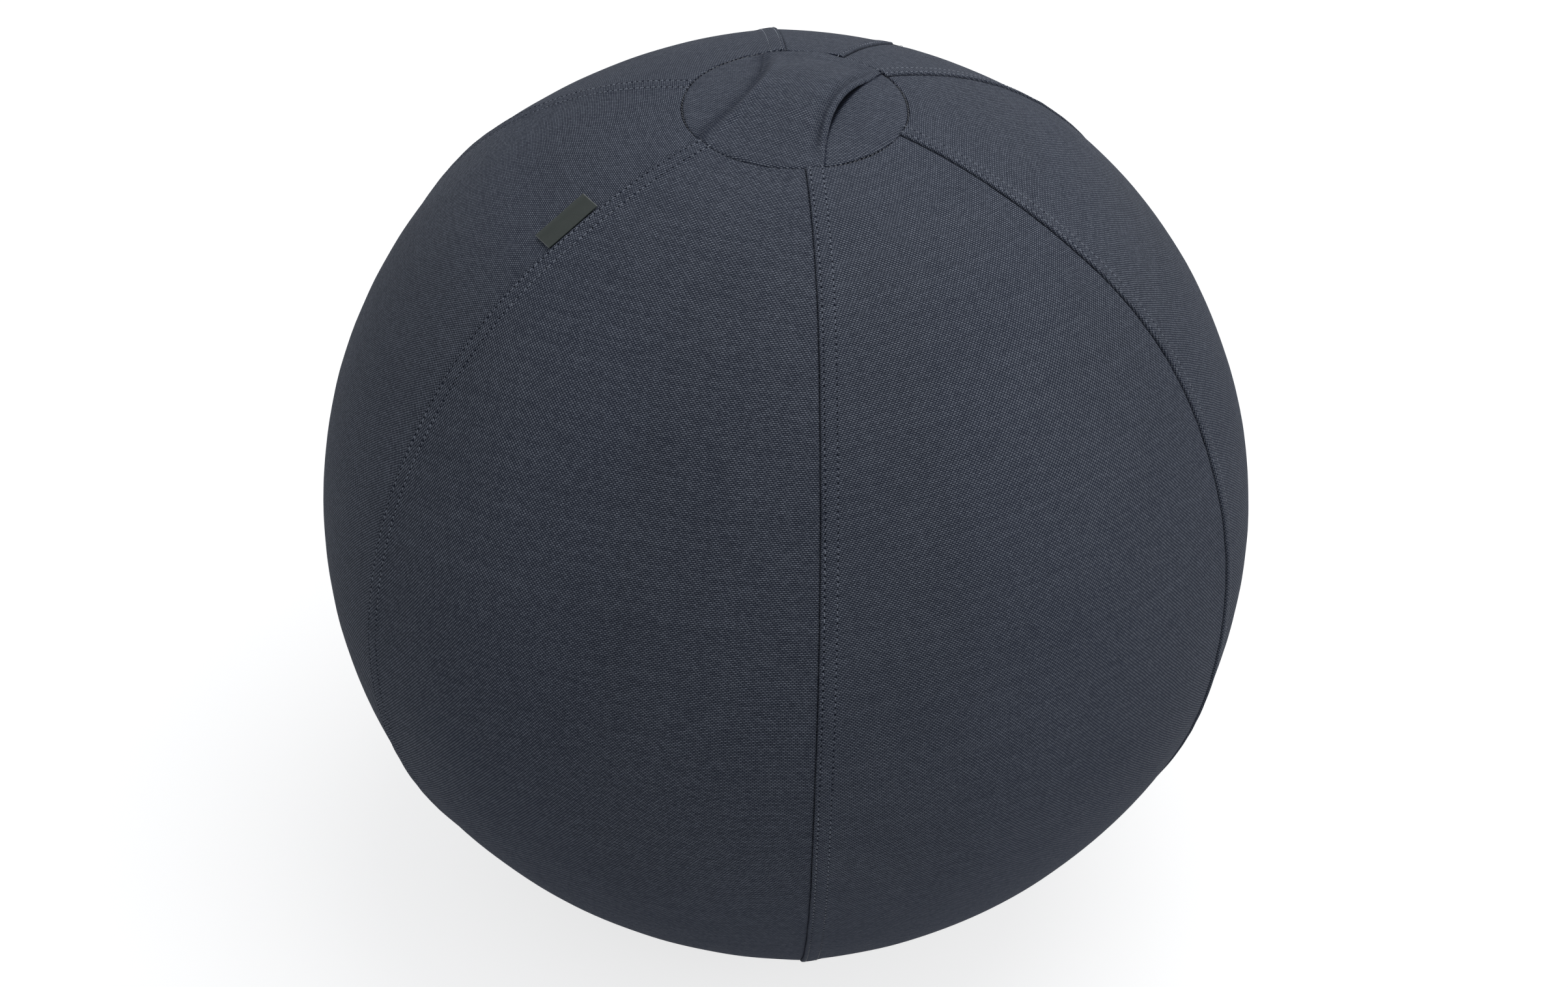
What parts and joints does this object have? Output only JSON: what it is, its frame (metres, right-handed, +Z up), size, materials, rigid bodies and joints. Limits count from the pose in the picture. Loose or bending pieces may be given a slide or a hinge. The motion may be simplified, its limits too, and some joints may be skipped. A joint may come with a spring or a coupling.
{
  "type": "sitting ball",
  "caption": "Inflatable sitting ball in a zipped canvas cover of sewn panels, with a top cap, a carrying strap over it and a flat weighted base.",
  "frame": {"origin": "middle of the flat that the ball rests on", "axes": "+Z up; -Y is the front, through the middle of the front panel; +X is to the right of someone who looks at the front"},
  "size_m": [0.6568, 0.6459, 0.652],
  "materials": {
    "canvas": "matte",
    "coated_canvas": "matte",
    "label_satin": "satin",
    "zip_tape": "matte",
    "zip_nylon": "satin",
    "zip_metal": "satin",
    "bladder_vinyl": "satin",
    "valve_rubber": "matte",
    "plug_plastic": "satin",
    "pouch_cloth": "matte",
    "sand": "matte"
  },
  "bodies": {
    "ball": {"front_panel": "canvas", "front_right_panel": "canvas", "back_right_panel": "canvas", "back_panel_right": "canvas", "back_panel_left": "canvas", "back_left_panel": "canvas", "front_left_panel": "canvas", "top_cap": "canvas", "base_panel": "coated_canvas", "zip_tape_right": "zip_tape", "zip_tape_left": "zip_tape", "zip_coil_right": "zip_nylon", "zip_coil_left": "zip_nylon", "zip_bottom_stop": "zip_metal", "zip_top_stops": "zip_metal", "bladder": "bladder_vinyl", "valve_seat": "valve_rubber", "valve_plug": "plug_plastic", "pouch_upper": "pouch_cloth", "pouch_lower": "pouch_cloth", "sand_fill": "sand"},
    "handle": {"handle_strap": "canvas"},
    "label": {"label_tag": "label_satin"},
    "slider": {"zip_slider": "zip_metal"},
    "pull": {"zip_pull": "zip_metal"}
  },
  "joints": [
    {"name": "handle_lift", "type": "slide", "parent": "ball", "child": "handle", "axis": [0, 0, 1], "range_m": [-0.009, 0.005], "stiffness_N_per_m": 200, "deforming": ["handle_strap"]},
    {"name": "label_flip", "type": "hinge", "parent": "ball", "child": "label", "pos_m": [-0.08294, -0.14255, 0.59609], "axis": [0.4313, 0.747, 0.506], "range_deg": [0, 115]},
    {"name": "zip_run", "type": "hinge", "parent": "ball", "child": "slider", "pos_m": [0, 0, 0.31499], "axis": [1, 0, 0], "range_deg": [0, 84.8]},
    {"name": "pull_swing", "type": "hinge", "parent": "slider", "child": "pull", "pos_m": [0, 0.29107, 0.17031], "axis": [1, 0, 0], "range_deg": [0, 170]}
  ]
}
